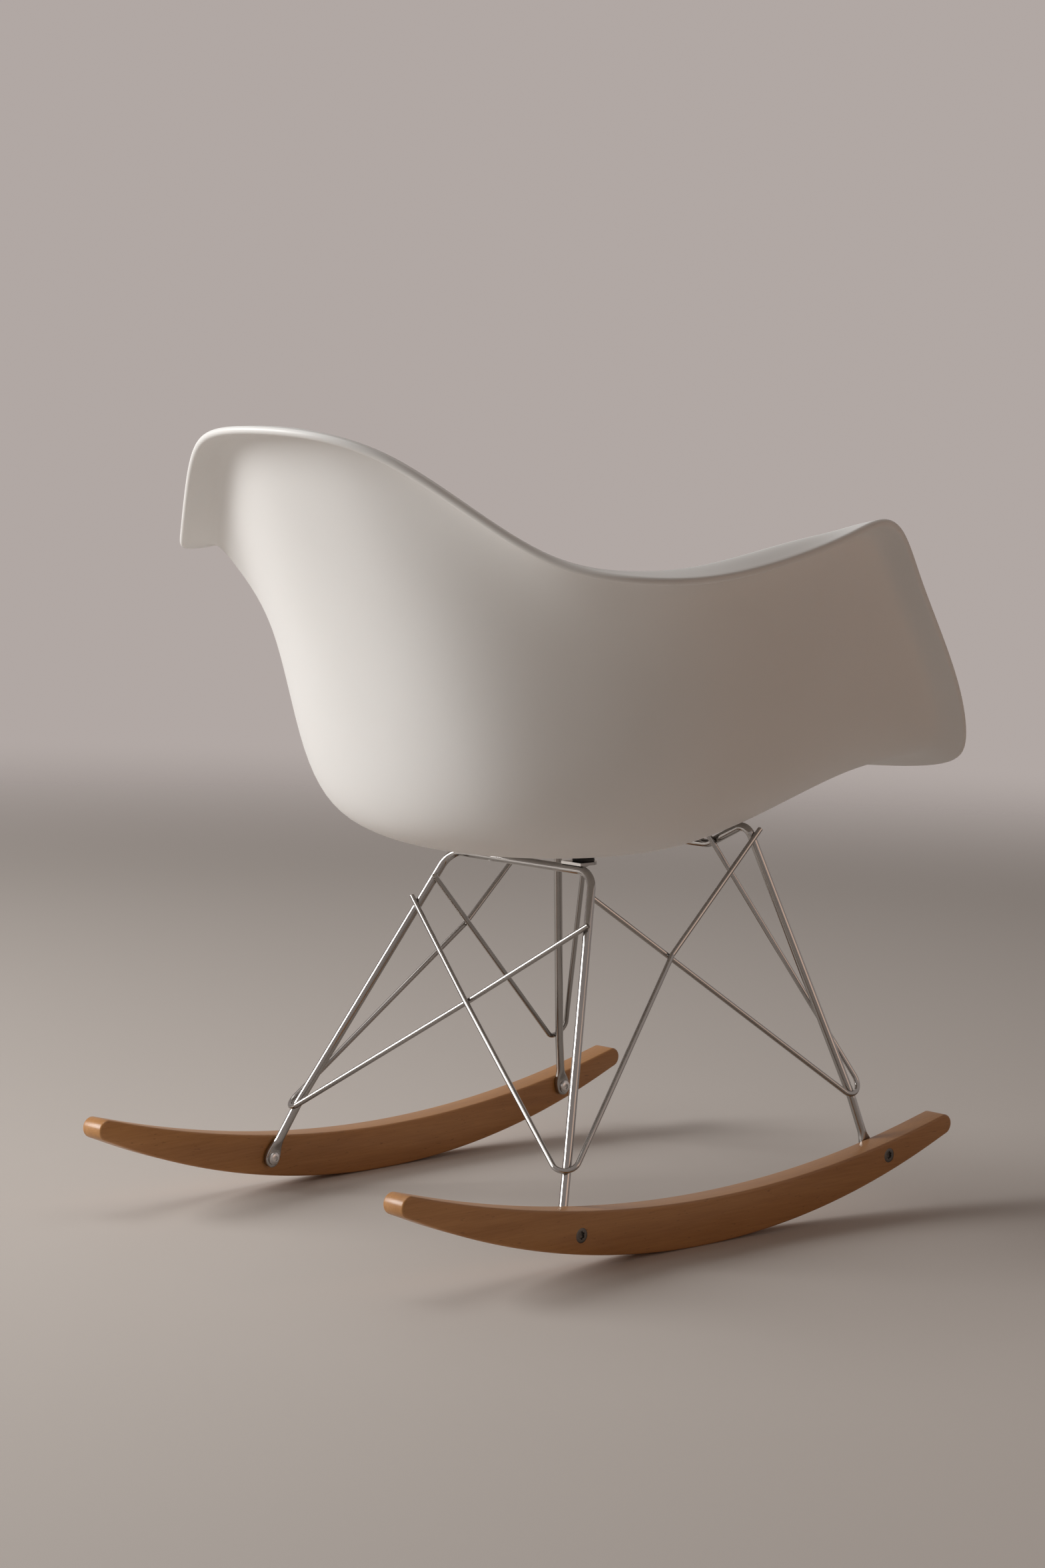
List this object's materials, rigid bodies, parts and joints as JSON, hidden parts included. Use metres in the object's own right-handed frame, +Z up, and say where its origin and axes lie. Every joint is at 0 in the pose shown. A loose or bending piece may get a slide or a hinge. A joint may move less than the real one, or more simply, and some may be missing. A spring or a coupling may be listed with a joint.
{
  "type": "rocking chair",
  "caption": "Moulded bucket armchair on a bent-wire base of cross-braced legs, bolted to two curved wooden rockers.",
  "frame": {"origin": "on the ground, under the middle of the bounding box", "axes": "+Z up, the sitter faces -Y, the sitter's left is +X"},
  "size_m": [0.639, 0.6901, 0.7026],
  "materials": {
    "shell_plastic": "satin white moulded polypropylene",
    "chrome_rod": "bright chrome-plated steel rod",
    "chrome_wire": "bright chrome-plated steel wire",
    "chrome_tab": "bright chrome-plated steel plate",
    "mount_rubber": "matt black rubber",
    "zinc_steel": "zinc-plated steel",
    "screw_steel": "zinc-plated steel",
    "rocker_wood": "clear-lacquered light hardwood",
    "bolt_steel": "zinc-plated steel",
    "nut_steel": "dark plated steel"
  },
  "bodies": {
    "root": {"seat_shell": "shell_plastic", "rear_leg_hoop": "chrome_rod", "front_leg_hoop": "chrome_rod", "rear_left_brace": "chrome_wire", "rear_right_brace": "chrome_wire", "front_left_brace": "chrome_wire", "front_right_brace": "chrome_wire", "rear_left_tab": "chrome_tab", "rear_right_tab": "chrome_tab", "front_left_tab": "chrome_tab", "front_right_tab": "chrome_tab", "rear_left_shock_mount": "mount_rubber", "rear_right_shock_mount": "mount_rubber", "front_left_shock_mount": "mount_rubber", "front_right_shock_mount": "mount_rubber", "mount_plates": "zinc_steel", "mount_screws": "screw_steel", "left_rocker": "rocker_wood", "right_rocker": "rocker_wood", "rocker_bolts": "bolt_steel", "rocker_sleeve_nuts": "nut_steel"}
  },
  "joints": []
}
